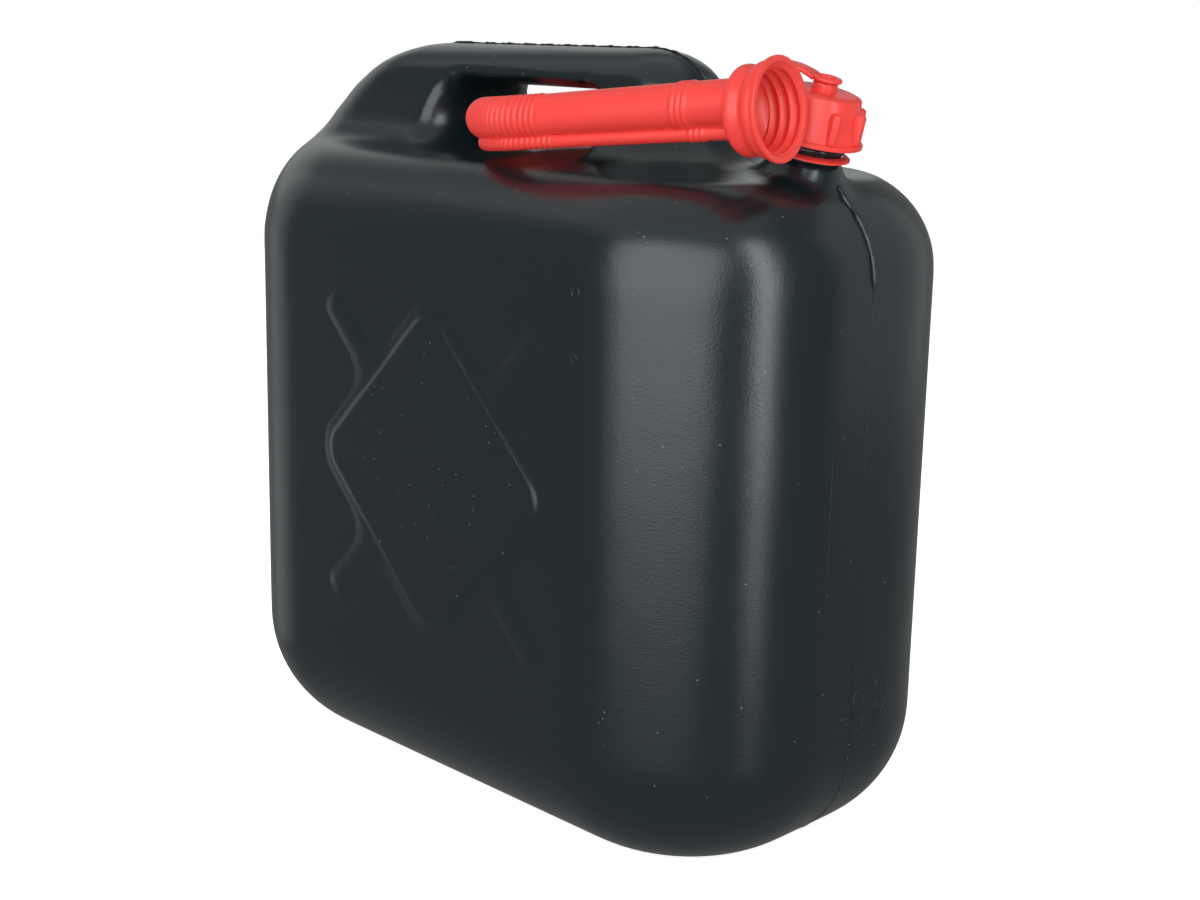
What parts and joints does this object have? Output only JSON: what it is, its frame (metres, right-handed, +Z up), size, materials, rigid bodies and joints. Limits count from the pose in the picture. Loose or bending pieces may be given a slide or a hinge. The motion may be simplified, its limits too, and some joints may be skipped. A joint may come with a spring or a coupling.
{
  "type": "fuel can",
  "caption": "Blow-moulded fuel can with a handle through its top, a screw cap on a leaning neck, a cap strap and a flexible pouring spout stored through the handle.",
  "frame": {"origin": "middle of the base, on the surface that the can stands on", "axes": "+X along the can towards the neck and cap, +Y across it, +Z up"},
  "size_m": [0.301, 0.1734, 0.3064],
  "materials": {
    "black_polyethylene": "semi-matte, finely grained",
    "red_polyethylene": "soft gloss",
    "black_rubber": "matte"
  },
  "bodies": {
    "can": {"canister": "black_polyethylene", "spout": "red_polyethylene", "cap_strap": "red_polyethylene"},
    "cap_carrier": {"cap_seal": "black_rubber"},
    "cap": {"cap": "red_polyethylene"}
  },
  "joints": [
    {"name": "cap_lift", "type": "slide", "parent": "can", "child": "cap_carrier", "axis": [0.2351, 0, 0.972], "range_m": [0, 0.0079], "deforming": ["cap_strap"]},
    {"name": "cap_turn", "type": "hinge", "parent": "cap_carrier", "child": "cap", "pos_m": [0.119, 0, 0.2763], "axis": [0.2351, 0, 0.972], "range_deg": [0, 630]}
  ],
  "couplings": [
    {"joint": "cap_lift", "follows": "cap_turn", "m_per_rad": 0.0007162}
  ]
}
